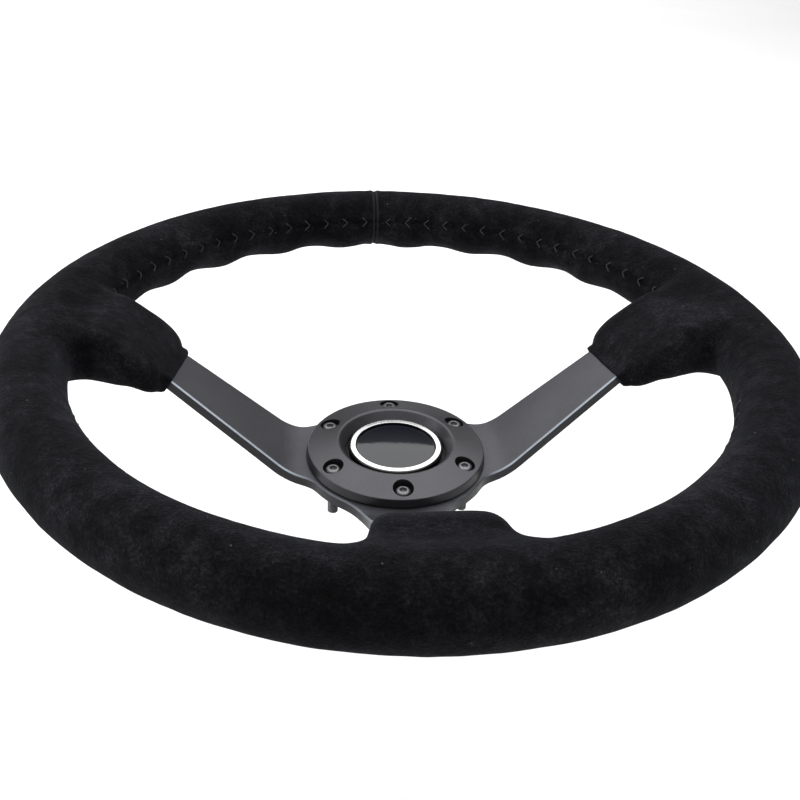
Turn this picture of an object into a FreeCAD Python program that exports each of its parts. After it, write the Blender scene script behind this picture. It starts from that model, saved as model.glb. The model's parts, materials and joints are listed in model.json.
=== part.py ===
import FreeCAD, Part
import os
from math import cos, hypot, radians, sin

import Sketcher
from FreeCAD import Vector

# A deep-dish three-spoke motorsport steering wheel with a horn push in its hub.
# Origin: centre of the hub plate's rear face.  +Z points at the driver, +Y at 12 o'clock.
# All sizes in millimetres.  Every driving size is a cell of the sheet "Sizes".

SIZES = {
    # rim
    "rim_circle": 159, "rim_tube": 16, "rim_level": 61,
    "cover_thick": 1.2, "foam_tube": 14.8,
    "core_inner": 150, "core_outer": 168, "core_thick": 5,
    "thread_radius": 0.6, "seam_rise": 15,
    # spoke frame
    "plate_thick": 5, "hub_disc": 44, "centre_hole": 26, "edge_chamfer": 0.7,
    "bend_inside": 22, "bend_outside": 27,
    "bend_start": 49.06, "bend_shift": 1.65, "slope_end": 124.73, "tab_end": 160,
    "tab_upper": 44.66, "ridge": 17.2, "tab_lower": 24.03, "valley": 32.7, "lower_half": 15.5,
    "upper_root_round": 18, "side_root_round": 14, "lower_root_round": 30,
    "strip_low": 36, "strip_high": 60, "lower_strip_start": 20, "lower_strip_half": 40,
    # rivets that hold the spoke tabs to the core ring
    "rivet_shank": 2.4, "rivet_head": 4, "rivet_crown": 2.6, "rivet_head_high": 2, "rivet_circle": 156,
    # hub ring
    "ring_recess": 29.8, "ring_foot": 42.3, "ring_edge": 41.5, "ring_crest": 27, "ring_throat": 23.4,
    "undercut": 1, "undercut_high": 0.7, "wall_high": 4.6, "crest_high": 8.3, "throat_high": 3.4,
    "recess_high": 1.6, "crest_round": 1.5, "ring_edge_round": 0.5,
    # hub screws
    "bolt_circle": 35, "bolt_hole": 2.75, "counterbore": 4.75, "counterbore_floor": 1.8,
    "thread_half": 2.5, "shank": 2.24,
    "head_radius": 3.6, "head_high": 3.7, "head_round": 1.5,
    "socket_across": 1.5, "socket_deep": 1.9, "screw_tip": 14.8, "tip_round": 0.5,
    # horn push
    "housing_flange": 29.4, "flange_thick": 1.5, "housing_outer": 25.7, "housing_inner": 23,
    "housing_floor": 6, "floor_thick": 2, "lip_radius": 20.6, "lip_top": 5, "lip_bottom": 3.4,
    "cap_head": 21.5, "cap_top": 9, "cap_under": 7.3, "skirt_outer": 20.3, "skirt_inner": 18.2,
    "claw_outer": 22.6, "claw_top": 3.2, "claw_bottom": 1.6,
    "bezel_outer": 22.3, "bezel_inner": 18.6, "bezel_skirt": 21.6, "bezel_low": 7.5, "bezel_top": 10.6,
    "bezel_round": 1.3, "bezel_inner_round": 0.6,
    "emblem_radius": 18.5, "emblem_edge": 0.5, "emblem_rise": 0.6, "emblem_dome": 285.5,
    "spring_mean": 7, "spring_wire": 0.7, "spring_pitch": 1.945,
    "strip": 0.6, "ground_inner": 5.2, "ground_outer": 15, "ground_pin": 12.5,
    "post_radius": 3, "post_top": 4.6, "pin_radius": 1.5, "peen_radius": 2.6, "peen_high": 1,
    "contact_radius": 12, "stake_at": 10, "stake_radius": 1, "stake_head": 1.8, "stake_head_high": 0.6,
    "stake_deep": 1.2,
    "blade_thick": 0.8, "blade_half": 3.15, "blade_reach": 9.2, "blade_drop": 6.6,
    # padded spoke roots
    "boot_end": 102, "boot_upper": 43, "boot_lower": 2, "boot_half": 21.5,
    "boot_web_span": 120, "boot_web": 5.5, "boot_rim_span": 148, "boot_rim_upper": 51, "boot_rim_lower": 12,
    "boot_low_end": 32.5, "boot_low_span": 118, "boot_low": 45.7, "boot_high_end": 49.8,
    "boot_high_span": 128, "boot_high": 71, "boot_lower_rim_half": 32,
}
BOLT_ANGLES = (30, 90, 150, 210, 270, 330)
RIVET_ANGLES = (9.8, 14.6, 165.4, 170.2, 267.5, 272.5)
UPPER_SEAM = (22, 158)
LEFT_SEAM = (200, 251)
RIGHT_SEAM = (289, 340)

doc = FreeCAD.newDocument("steering_wheel")
nodes = []


def make_sheet():
    """The sheet of driving sizes: a name in column A and its value, with that alias, in column B."""
    sheet = doc.addObject("Spreadsheet::Sheet", "Sizes")
    for row, (alias, value) in enumerate(SIZES.items(), start=1):
        sheet.set(f"A{row}", alias)
        sheet.set(f"B{row}", str(value))
        sheet.setAlias(f"B{row}", alias)
    doc.recompute()


def number(text):
    """The value of a sum such as 'plate_thick + wall_high - 2'."""
    total = 0.0
    sign = 1
    for word in str(text).split():
        if word in "+-":
            sign = 1 if word == "+" else -1
        else:
            total += sign * (SIZES[word] if word in SIZES else float(word))
            sign = 1
    return total


def formula(text):
    """The same sum as an expression on the sheet."""
    return " ".join(f"Sizes.{word}" if word in SIZES else word for word in str(text).split())


def bind(thing, **sizes):
    """Bind properties of an object to the sheet; '__' in a name stands for a dot."""
    for name, text in sizes.items():
        thing.setExpression(name.replace("__", "."), formula(text))


def keep(thing, label):
    """Give an object its node name and list it for the checks and the export."""
    thing.Label = label
    nodes.append(thing)
    return thing


# ---------------------------------------------------------------- sketches and bodies

def origin_plane(body, role):
    return next(item for item in body.Origin.OriginFeatures if item.Role == role)


def new_body(name):
    body = doc.addObject("PartDesign::Body", name)
    body.AllowCompound = True
    return body


def new_sketch(body, name, role):
    sketch = body.newObject("Sketcher::SketchObject", name)
    sketch.AttachmentSupport = [(origin_plane(body, role), "")]
    sketch.MapMode = "FlatFace"
    return sketch


def place_point(sketch, element, end, point):
    """Fix one end of a sketch element to the sheet's values, measured from the sketch's origin."""
    for kind, text in zip(("DistanceX", "DistanceY"), point):
        value = number(text)
        if abs(value) < 1e-9:
            axis = -2 if kind == "DistanceX" else -1
            sketch.addConstraint(Sketcher.Constraint("PointOnObject", element, end, axis))
            continue
        index = sketch.addConstraint(Sketcher.Constraint(kind, -1, 1, element, end, value))
        sketch.setExpression(f"Constraints[{index}]", formula(text))


def add_outline(sketch, points):
    """A closed outline of lines through the points."""
    spots = [Vector(number(x), number(y), 0) for x, y in points]
    sides = [sketch.addGeometry(Part.LineSegment(start, spots[(index + 1) % len(spots)]))
             for index, start in enumerate(spots)]
    for index, element in enumerate(sides):
        following = sides[(index + 1) % len(sides)]
        sketch.addConstraint(Sketcher.Constraint("Coincident", element, 2, following, 1))
        place_point(sketch, element, 1, points[index])


def add_circle(sketch, x, y, radius):
    centre = Vector(number(x), number(y), 0)
    element = sketch.addGeometry(Part.Circle(centre, Vector(0, 0, 1), number(radius)))
    place_point(sketch, element, 3, (x, y))
    bound = sketch.addConstraint(Sketcher.Constraint("Radius", element, number(radius)))
    sketch.setExpression(f"Constraints[{bound}]", formula(radius))


def pad(body, sketch, length, midplane=False, backwards=False):
    feature = body.newObject("PartDesign::Pad", sketch.Name + "Pad")
    feature.Profile = sketch
    bind(feature, Length=length)
    feature.Midplane = midplane
    feature.Reversed = backwards
    doc.recompute()
    return feature


def pocket(body, sketch, length, midplane=False, backwards=False):
    """Cut a sketch out of a body, and stop if nothing was cut."""
    before = body.Shape.Volume
    feature = body.newObject("PartDesign::Pocket", sketch.Name + "Pocket")
    feature.Profile = sketch
    bind(feature, Length=length)
    feature.Midplane = midplane
    feature.Reversed = backwards
    doc.recompute()
    if body.Shape.Volume > before - 1e-6:
        raise RuntimeError(f"{feature.Name} cut nothing")
    return feature


def revolve(body, sketch):
    feature = body.newObject("PartDesign::Revolution", sketch.Name + "Turned")
    feature.Profile = sketch
    feature.ReferenceAxis = (sketch, ["V_Axis"])
    feature.Angle = 360
    doc.recompute()
    return feature


def polar_pattern(body, features, count):
    pattern = body.newObject("PartDesign::PolarPattern", body.Name + "Pattern")
    pattern.Originals = features
    pattern.Axis = (origin_axis(body), [""])
    pattern.Angle = 360
    pattern.Occurrences = count
    body.Tip = pattern
    doc.recompute()
    return pattern


def origin_axis(body):
    return next(item for item in body.Origin.OriginFeatures if item.Role == "Z_Axis")


def round_edges(body, feature_type, size_name, size, chosen):
    """Fillet or chamfer the edges of the body's last feature for which chosen(edge) is true."""
    base = body.Tip
    names = [f"Edge{index}" for index, edge in enumerate(base.Shape.Edges, start=1) if chosen(edge)]
    if not names:
        raise RuntimeError(f"{body.Name} has no such edges")
    feature = body.newObject(feature_type, body.Name + size_name + str(len(body.Group)))
    feature.Base = (base, names)
    bind(feature, **{size_name: size})
    body.Tip = feature
    doc.recompute()
    if feature.Shape.isNull():
        raise RuntimeError(f"{feature.Name} made nothing of {names}")
    return feature


def circle_at(radius, level):
    """A test for the circular edge of that radius about the Z axis at that level."""
    def chosen(edge):
        curve = edge.Curve
        return (isinstance(curve, Part.Circle) and abs(curve.Radius - number(radius)) < 1e-4
                and abs(curve.Center.z - number(level)) < 1e-4)
    return chosen


def turned(name, points):
    """A body turned about the Z axis from an outline of (radius, height) points."""
    body = new_body(name)
    sketch = new_sketch(body, name + "Profile", "XZ_Plane")
    add_outline(sketch, points)
    doc.recompute()
    revolve(body, sketch)
    return body


# ---------------------------------------------------------------- Part primitives

def place(thing, x=0, y=0, z=0):
    bind(thing, Placement__Base__x=x, Placement__Base__y=y, Placement__Base__z=z)
    return thing


def cylinder(name, radius, height, x=0, y=0, z=0):
    thing = doc.addObject("Part::Cylinder", name)
    bind(thing, Radius=radius, Height=height)
    return place(thing, x, y, z)


def box(name, length, width, height, x=0, y=0, z=0):
    thing = doc.addObject("Part::Box", name)
    bind(thing, Length=length, Width=width, Height=height)
    return place(thing, x, y, z)


def torus(name, circle, tube, level, start=0, sweep=360):
    """A ring about the Z axis, or the stretch of it that begins at angle start."""
    thing = doc.addObject("Part::Torus", name)
    bind(thing, Radius1=circle, Radius2=tube)
    thing.Angle3 = sweep
    thing.Placement = FreeCAD.Placement(Vector(), FreeCAD.Rotation(Vector(0, 0, 1), start))
    bind(thing, Placement__Base__z=level)
    return thing


def on_circle(circle, angle):
    """Where a point at that angle on a circle about the Z axis lies."""
    across = cos(radians(angle))
    up = sin(radians(angle))
    return {"x": f"{SIZES[circle] * across:.4f}", "y": f"{SIZES[circle] * up:.4f}"}


def joined(name, things):
    result = doc.addObject("Part::MultiFuse", name)
    result.Shapes = things
    doc.recompute()
    return result


def cut(name, base, tool):
    result = doc.addObject("Part::Cut", name)
    result.Base = base
    result.Tool = tool
    doc.recompute()
    return result


def together(name, things):
    """Separate solids of one node."""
    result = doc.addObject("Part::Compound", name)
    result.Links = things
    doc.recompute()
    return result


# ---------------------------------------------------------------- the spoke frame

def strip_outline(sign):
    """One spoke seen from its side, from the bend at the hub to the end of its tab."""
    top = [(f"{sign} bend_start", "plate_thick"), (f"{sign} slope_end", "rim_level"),
           (f"{sign} tab_end", "rim_level")]
    under = [(f"{sign} tab_end", "rim_level - plate_thick"),
             (f"{sign} slope_end {sign} bend_shift", "rim_level - plate_thick"),
             (f"{sign} bend_start {sign} bend_shift", "0")]
    return top, under


def bend_edges(direction, levels):
    """A test for the bends at some levels: edges centred across a strip, off the hub and the tab's end."""
    def chosen(edge):
        if not isinstance(edge.Curve, Part.Line) or abs(edge.Curve.Direction.dot(direction)) < 0.9999:
            return False
        middle = edge.CenterOfMass
        distance = hypot(middle.x, middle.y)
        centred = abs(middle.dot(direction)) < 1 and middle.y < 1
        at_level = any(abs(middle.z - number(level)) < 0.01 for level in levels)
        return centred and at_level and number("bend_start") - 1 < distance < number("tab_end") - 1
    return chosen


def round_bends(body, direction):
    """Both bends of a strip, with the larger radius on the outside of each."""
    round_edges(body, "PartDesign::Fillet", "Radius", "bend_inside",
                bend_edges(direction, ["plate_thick", "rim_level - plate_thick"]))
    round_edges(body, "PartDesign::Fillet", "Radius", "bend_outside",
                bend_edges(direction, ["0", "rim_level"]))


def bent_sheet():
    """The sheet bent to its dish: a strip through both side spokes, and one down to 6 o'clock."""
    body = new_body("FrameSheet")
    side = new_sketch(body, "SideStrip", "XZ_Plane")
    right_top, right_under = strip_outline("+")
    left_top, left_under = strip_outline("-")
    add_outline(side, left_top[::-1] + right_top + right_under + left_under[::-1])
    pad(body, side, "strip_high + strip_high", midplane=True)
    round_bends(body, Vector(0, 1, 0))
    trim = new_sketch(body, "SideStripTrim", "XY_Plane")
    add_outline(trim, [("- tab_end - 5", "- strip_low"), ("- tab_end - 5", "- strip_high - 5"),
                       ("tab_end + 5", "- strip_high - 5"), ("tab_end + 5", "- strip_low")])
    pocket(body, trim, "200", midplane=True)
    lower = new_sketch(body, "LowerStrip", "YZ_Plane")
    top, under = strip_outline("-")
    add_outline(lower, [("- lower_strip_start", "plate_thick"), *top, *under, ("- lower_strip_start", "0")])
    pad(body, lower, "lower_strip_half + lower_strip_half", midplane=True)
    round_bends(body, Vector(1, 0, 0))
    return body


def near(radius, least, most):
    """A test for upright edges at the hub disc's radius whose |x| lies between two values."""
    def chosen(edge):
        if not isinstance(edge.Curve, Part.Line) or abs(edge.Curve.Direction.z) < 0.9999:
            return False
        middle = edge.CenterOfMass
        return abs(hypot(middle.x, middle.y) - number(radius)) < 0.01 and least < abs(middle.x) < most
    return chosen


def frame_plan():
    """The frame's plan as an upright prism, with rounded roots where the spokes leave the hub disc."""
    body = new_body("FramePlan")
    sides = new_sketch(body, "SidePlan", "XY_Plane")
    add_outline(sides, [
        ("tab_end", "tab_lower"), ("tab_end", "tab_upper"), ("0", "ridge"), ("- tab_end", "tab_upper"),
        ("- tab_end", "tab_lower"), ("0", "- valley")])
    lower = new_sketch(body, "LowerPlan", "XY_Plane")
    add_outline(lower, [("- lower_half", "0"), ("lower_half", "0"), ("lower_half", "- tab_end"),
                        ("- lower_half", "- tab_end")])
    disc = new_sketch(body, "HubDisc", "XY_Plane")
    add_circle(disc, "0", "0", "hub_disc")
    doc.recompute()
    for sketch in (sides, lower, disc):
        pad(body, sketch, "200", midplane=True)
    round_edges(body, "PartDesign::Fillet", "Radius", "lower_root_round", near("hub_disc", 0, 20))
    round_edges(body, "PartDesign::Fillet", "Radius", "side_root_round", near("hub_disc", 39, 44))
    round_edges(body, "PartDesign::Fillet", "Radius", "upper_root_round", near("hub_disc", 30, 39))
    return body


def front_edge(shape):
    """A test for the edges between the driver's side of the frame and its upright outline."""
    def lean(face, spot):
        return face.normalAt(*face.Surface.parameter(spot)).z

    def chosen(edge):
        spot = edge.valueAt((edge.FirstParameter + edge.LastParameter) / 2)
        leans = [lean(face, spot) for face in shape.ancestorsOfType(edge, Part.Face)]
        return min(map(abs, leans)) < 0.05 and max(leans) > 0.3
    return chosen


def make_spoke_frame():
    """Bent sheet within the plan, chamfered on the driver's side, then drilled."""
    blank = doc.addObject("Part::Common", "FrameBlank")
    blank.Base = bent_sheet()
    blank.Tool = frame_plan()
    blank.Refine = True
    doc.recompute()
    chosen = front_edge(blank.Shape)
    size = SIZES["edge_chamfer"]
    chamfered = doc.addObject("Part::Chamfer", "FrameChamfered")
    chamfered.Base = blank
    chamfered.Edges = [(index, size, size) for index, edge in enumerate(blank.Shape.Edges, start=1)
                       if chosen(edge)]
    doc.recompute()
    holes = [cylinder("CentreHole", "centre_hole", "40", z="- 20")]
    for angle in BOLT_ANGLES:
        holes.append(cylinder(f"BoltHole{angle}", "bolt_hole", "40", z="- 20",
                              **on_circle("bolt_circle", angle)))
    for index, angle in enumerate(RIVET_ANGLES):
        holes.append(cylinder(f"FrameRivetHole{index}", "rivet_shank", "40", z="rim_level - 20",
                              **on_circle("rivet_circle", angle)))
    return keep(cut("SpokeFrame", chamfered, joined("FrameHoles", holes)), "spoke_frame")


# ---------------------------------------------------------------- the rim

def make_core_ring():
    """A flat steel ring that lies on the spoke tabs inside the rim."""
    outer = cylinder("CoreOuter", "core_outer", "core_thick", z="rim_level")
    inner = cylinder("CoreInner", "core_inner", "core_thick + 2", z="rim_level - 1")
    ring = cut("CoreBlank", outer, inner)
    holes = [cylinder(f"CoreHole{index}", "rivet_shank", "core_thick + 2", z="rim_level - 1",
                      **on_circle("rivet_circle", angle)) for index, angle in enumerate(RIVET_ANGLES)]
    return keep(cut("CoreRing", ring, joined("CoreHoles", holes)), "rim_core_ring")


def make_rivets():
    """Round-headed rivets through the spoke tabs and the core ring."""
    rivets = []
    for index, angle in enumerate(RIVET_ANGLES):
        spot = on_circle("rivet_circle", angle)
        shank = cylinder(f"RivetShank{index}", "rivet_shank", "plate_thick + core_thick",
                         z="rim_level - plate_thick", **spot)
        heads = []
        for side, level, lower, upper in (
                ("Low", "rim_level - plate_thick - rivet_head_high", "rivet_crown", "rivet_head"),
                ("High", "rim_level + core_thick", "rivet_head", "rivet_crown")):
            head = doc.addObject("Part::Cone", f"Rivet{side}{index}")
            bind(head, Radius1=lower, Radius2=upper, Height="rivet_head_high")
            heads.append(place(head, z=level, **spot))
        rivets.append(joined(f"Rivet{index}", [shank] + heads))
    return keep(together("Rivets", rivets), "spoke_rivets")


def boot_body(name, role, out, plan, skin):
    """A padded spoke root: its side view, trimmed by its plan, set back all over by skin.

    out is the sign of the direction from the hub to the rim along the side view.
    """
    body = new_body(name)
    side = new_sketch(body, name + "Side", role)
    add_outline(side, [
        (f"{out} boot_end {out} {skin}", f"boot_low_end + {skin}"),
        (f"{out} boot_low_span {out} {skin}", f"boot_low + {skin}"),
        (f"{out} boot_rim_span", f"boot_low + {skin}"),
        (f"{out} boot_rim_span", f"boot_high - {skin}"),
        (f"{out} boot_high_span", f"boot_high - {skin}"),
        (f"{out} boot_end {out} {skin}", f"boot_high_end - {skin}")])
    pad(body, side, "240", midplane=True)
    trim = new_sketch(body, name + "Plan", "XY_Plane")
    add_outline(trim, plan)
    add_outline(trim, [("300", "300"), ("- 300", "300"), ("- 300", "- 300"), ("300", "- 300")])
    pocket(body, trim, "400", midplane=True)
    return body


def side_plan(out, skin):
    """The plan of a side boot; out is the sign of its side."""
    return [(f"{out} boot_end {out} {skin}", f"- boot_lower + {skin}"),
            (f"{out} boot_web_span {out} {skin}", f"- boot_web + {skin}"),
            (f"{out} boot_rim_span", f"- boot_rim_lower + {skin}"),
            (f"{out} boot_rim_span", f"boot_rim_upper - {skin}"),
            (f"{out} boot_end {out} {skin}", f"boot_upper - {skin}")]


def lower_plan(skin):
    """The plan of the six o'clock boot."""
    return [(f"- boot_half + {skin}", f"- boot_end - {skin}"),
            (f"boot_half - {skin}", f"- boot_end - {skin}"),
            (f"boot_lower_rim_half - {skin}", "- boot_rim_span"),
            (f"- boot_lower_rim_half + {skin}", "- boot_rim_span")]


def rim_blank(name, tube, skin):
    """The rim's ring with its three padded spoke roots."""
    ring = torus(name + "Ring", "rim_circle", tube, "rim_level")
    left = boot_body("Left" + name, "XZ_Plane", "-", side_plan("-", skin), skin)
    right = boot_body("Right" + name, "XZ_Plane", "+", side_plan("+", skin), skin)
    lower = boot_body("Lower" + name, "YZ_Plane", "-", lower_plan(skin), skin)
    return joined(name, [ring, left, right, lower])


def make_rim(frame, core, rivets):
    """The moulded foam, with room for the core, and the suede skin round it."""
    inside = rim_blank("FoamBlank", "foam_tube", "cover_thick")
    foam = cut("Foam", inside, joined("FoamRoom", [frame, core] + rivets.Links))
    keep(foam, "rim_foam")
    outside = rim_blank("CoverBlank", "rim_tube", "0")
    cover = cut("Cover", outside, joined("CoverRoom", [inside, frame]))
    keep(cover, "rim_cover")


def make_seams():
    """The laced seam round the rim's inner side, in three runs between the spokes."""
    lean = radians(SIZES["seam_rise"])
    reach = SIZES["rim_tube"] + SIZES["thread_radius"]
    circle = f"rim_circle - {reach * cos(lean):.4f}"
    level = f"rim_level + {reach * sin(lean):.4f}"
    for label, (first, last) in (("seam_lacing_upper", UPPER_SEAM), ("seam_lacing_left", LEFT_SEAM),
                                 ("seam_lacing_right", RIGHT_SEAM)):
        keep(torus(label, circle, "thread_radius", level, first, last - first), label)


# ---------------------------------------------------------------- the hub

def make_hub_ring():
    """The trim ring that clamps the horn housing, with six counterbored screw holes."""
    body = turned("HubRing", [
        ("ring_recess", "plate_thick"), ("ring_foot - undercut", "plate_thick"),
        ("ring_foot - undercut", "plate_thick + undercut_high"),
        ("ring_foot", "plate_thick + undercut_high"),
        ("ring_edge", "plate_thick + wall_high"), ("ring_crest", "plate_thick + crest_high"),
        ("ring_throat", "plate_thick + throat_high"), ("ring_throat", "plate_thick + recess_high"),
        ("ring_recess", "plate_thick + recess_high")])
    round_edges(body, "PartDesign::Fillet", "Radius", "crest_round",
                circle_at("ring_crest", "plate_thick + crest_high"))
    round_edges(body, "PartDesign::Fillet", "Radius", "ring_edge_round",
                circle_at("ring_edge", "plate_thick + wall_high"))
    bore = new_sketch(body, "Counterbore", "XY_Plane")
    bore.AttachmentOffset = FreeCAD.Placement(Vector(0, 0, 0), FreeCAD.Rotation())
    bind(bore, AttachmentOffset__Base__z="plate_thick + counterbore_floor")
    add_circle(bore, "0", "bolt_circle", "counterbore")
    wide = pocket(body, bore, "20", backwards=True)
    hole = new_sketch(body, "RingHole", "XY_Plane")
    add_circle(hole, "0", "bolt_circle", "bolt_hole")
    narrow = pocket(body, hole, "40", midplane=True)
    polar_pattern(body, [wide, narrow], len(BOLT_ANGLES))
    return keep(body, "hub_ring")


def hexagon(across, x, y):
    """The corners of a hexagon about a point, as sums on the sheet."""
    corner = SIZES[across] / cos(radians(30))
    turns = [radians(60 * step) for step in range(6)]
    return [(f"{x} + {corner * cos(turn):.4f}", f"{y} + {corner * sin(turn):.4f}") for turn in turns]


def offset_turned(body, name, points, feature_type="PartDesign::Revolution"):
    """Turn an outline about the vertical line through the bolt circle at 12 o'clock."""
    sketch = new_sketch(body, name, "YZ_Plane")
    add_outline(sketch, [(f"bolt_circle + {x}", z) for x, z in points])
    line = Part.LineSegment(Vector(number("bolt_circle"), -30, 0), Vector(number("bolt_circle"), 30, 0))
    axis = sketch.addGeometry(line, True)
    place_point(sketch, axis, 1, ("bolt_circle", "- 30"))
    place_point(sketch, axis, 2, ("bolt_circle", "30"))
    feature = body.newObject(feature_type, name + "Turned")
    feature.Profile = sketch
    feature.ReferenceAxis = (sketch, ["Axis0"])
    feature.Angle = 360
    doc.recompute()
    return feature


def make_screws():
    """M5 dome-head screws, rolled thread: the grip runs on the pitch diameter."""
    body = new_body("HubScrews")
    seat = "plate_thick + counterbore_floor"
    shaft = offset_turned(body, "ScrewProfile", [
        ("0", "- screw_tip"), ("thread_half - tip_round", "- screw_tip"),
        ("thread_half", "- screw_tip + tip_round"), ("thread_half", "0"), ("shank", "0"),
        ("shank", seat), ("head_radius", seat), ("head_radius", f"{seat} + head_high - head_round"),
        ("head_radius - 0.5", f"{seat} + head_high - head_round + 1.1"),
        ("head_radius - head_round", f"{seat} + head_high"), ("0", f"{seat} + head_high")])
    socket = new_sketch(body, "Socket", "XY_Plane")
    bind(socket, AttachmentOffset__Base__z=f"{seat} + head_high - socket_deep")
    add_outline(socket, hexagon("socket_across", "0", "bolt_circle"))
    drive = pocket(body, socket, "5", backwards=True)
    polar_pattern(body, [shaft, drive], len(BOLT_ANGLES))
    return keep(body, "hub_screws")


# ---------------------------------------------------------------- the horn push

def make_housing():
    """The fixed cup, held by its flange under the hub ring."""
    body = turned("HornHousing", [
        ("0", "- housing_floor - floor_thick"), ("housing_outer", "- housing_floor - floor_thick"),
        ("housing_outer", "plate_thick"), ("housing_flange", "plate_thick"),
        ("housing_flange", "plate_thick + flange_thick"), ("housing_inner", "plate_thick + flange_thick"),
        ("housing_inner", "lip_top"), ("lip_radius", "lip_top"), ("lip_radius", "lip_bottom"),
        ("housing_inner", "lip_bottom"), ("housing_inner", "- housing_floor"), ("0", "- housing_floor")])
    pins = new_sketch(body, "PinHoles", "XY_Plane")
    add_circle(pins, "0", "0", "pin_radius")
    add_circle(pins, "ground_pin", "0", "stake_radius")
    pocket(body, pins, "40", midplane=True)
    return keep(body, "horn_housing")


def make_cap():
    """The moving button: a head, a guiding skirt and claws that catch under the housing's lip."""
    body = turned("HornCap", [
        ("0", "cap_under"), ("skirt_inner", "cap_under"), ("skirt_inner", "claw_bottom"),
        ("claw_outer", "claw_bottom"), ("claw_outer", "claw_top"), ("skirt_outer", "claw_top"),
        ("skirt_outer", "cap_under"), ("cap_head", "cap_under"), ("cap_head", "cap_top"), ("0", "cap_top")])
    stakes = new_sketch(body, "StakeHoles", "XY_Plane")
    bind(stakes, AttachmentOffset__Base__z="cap_under")
    for sign in ("", "- "):
        add_circle(stakes, f"{sign}stake_at", "0", "stake_radius")
    pocket(body, stakes, "stake_deep", backwards=True)
    return keep(body, "horn_cap")


def make_bezel():
    """The chromed ring round the button's face."""
    body = turned("HornBezel", [
        ("bezel_inner", "cap_top"), ("bezel_skirt", "cap_top"), ("bezel_skirt", "bezel_low"),
        ("bezel_outer", "bezel_low"), ("bezel_outer", "bezel_top"), ("bezel_inner", "bezel_top")])
    round_edges(body, "PartDesign::Fillet", "Radius", "bezel_round", circle_at("bezel_outer", "bezel_top"))
    round_edges(body, "PartDesign::Fillet", "Radius", "bezel_inner_round",
                circle_at("bezel_inner", "bezel_top"))
    return keep(body, "horn_bezel")


def make_emblem():
    """A plain domed disc that lies in the bezel."""
    disc = cylinder("EmblemDisc", "emblem_radius", "emblem_edge + emblem_rise", z="cap_top")
    dome = doc.addObject("Part::Sphere", "EmblemDome")
    bind(dome, Radius="emblem_dome")
    place(dome, z="cap_top + emblem_edge + emblem_rise - emblem_dome")
    emblem = doc.addObject("Part::Common", "Emblem")
    emblem.Base = disc
    emblem.Tool = dome
    doc.recompute()
    return keep(emblem, "horn_emblem")


def make_spring():
    """The return spring, between the ground plate and the moving contact."""
    body = new_body("HornSpring")
    wire = new_sketch(body, "SpringWire", "XZ_Plane")
    foot = "- housing_floor + strip + spring_wire"
    add_circle(wire, "spring_mean", foot, "spring_wire")
    doc.recompute()
    coil = body.newObject("PartDesign::AdditiveHelix", "SpringCoil")
    coil.Profile = wire
    coil.ReferenceAxis = (wire, ["V_Axis"])
    coil.Mode = "pitch-height-angle"
    bind(coil, Pitch="spring_pitch",
         Height="cap_under - strip - spring_wire + housing_floor - strip - spring_wire")
    doc.recompute()
    return keep(body, "horn_spring")


def make_contacts():
    """Ground plate, live post, moving contact and the pins that hold them."""
    ground_blank = cut("GroundRing", cylinder("GroundDisc", "ground_outer", "strip", z="- housing_floor"),
                       cylinder("GroundEye", "ground_inner", "strip + 2", z="- housing_floor - 1"))
    ground = cut("GroundPlate", ground_blank,
                 cylinder("GroundHole", "stake_radius", "strip + 2", x="ground_pin",
                          z="- housing_floor - 1"))
    keep(ground, "horn_ground_plate")

    under = "- housing_floor - floor_thick"
    post = joined("LivePost", [
        cylinder("PostHead", "post_radius", "housing_floor + post_top", z="- housing_floor"),
        cylinder("PostPin", "pin_radius", "floor_thick + blade_thick", z=f"{under} - blade_thick"),
        cylinder("PostPeen", "peen_radius", "peen_high", z=f"{under} - blade_thick - peen_high")])
    keep(post, "horn_live_post")

    rivet = joined("GroundRivet", [
        cylinder("RivetTop", "stake_head", "stake_head_high", x="ground_pin", z="- housing_floor + strip"),
        cylinder("RivetPin", "stake_radius", "strip + floor_thick + blade_thick", x="ground_pin",
                 z=f"{under} - blade_thick"),
        cylinder("RivetPeen", "stake_head", "stake_head_high", x="ground_pin",
                 z=f"{under} - blade_thick - stake_head_high")])
    keep(rivet, "horn_ground_rivet")

    blank = cylinder("ContactDisc", "contact_radius", "strip", z="cap_under - strip")
    holes = [cylinder(f"ContactHole{index}", "stake_radius", "strip + 2", x=f"{sign}stake_at",
                      z="cap_under - strip - 1") for index, sign in enumerate(("", "- "))]
    keep(cut("MovingContact", blank, joined("ContactHoles", holes)), "horn_moving_contact")

    stakes = []
    for index, sign in enumerate(("", "- ")):
        spot = f"{sign}stake_at"
        stakes.append(joined(f"Stake{index}", [
            cylinder(f"StakePin{index}", "stake_radius", "strip + stake_deep", x=spot,
                     z="cap_under - strip"),
            cylinder(f"StakeHead{index}", "stake_head", "stake_head_high", x=spot,
                     z="cap_under - strip - stake_head_high")]))
    keep(together("Stakes", stakes), "horn_contact_rivets")


def make_terminal(label, name, x, hole):
    """A spade terminal: an eye under the housing's floor and a blade bent down from it."""
    under = "- housing_floor - floor_thick - blade_thick"
    foot = box(name + "Foot", "blade_half + blade_half", "blade_reach + blade_half", "blade_thick",
               x=f"{x} - blade_half", y="- blade_reach", z=under)
    blade = box(name + "Blade", "blade_half + blade_half", "blade_thick", "blade_drop",
                x=f"{x} - blade_half", y="- blade_reach", z=f"{under} - blade_drop")
    eye = cylinder(name + "Eye", hole, "blade_thick + 2", x=x, z=f"{under} - 1")
    return keep(cut(name, joined(name + "Blank", [foot, blade]), eye), label)


# ---------------------------------------------------------------- checks and export

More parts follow.
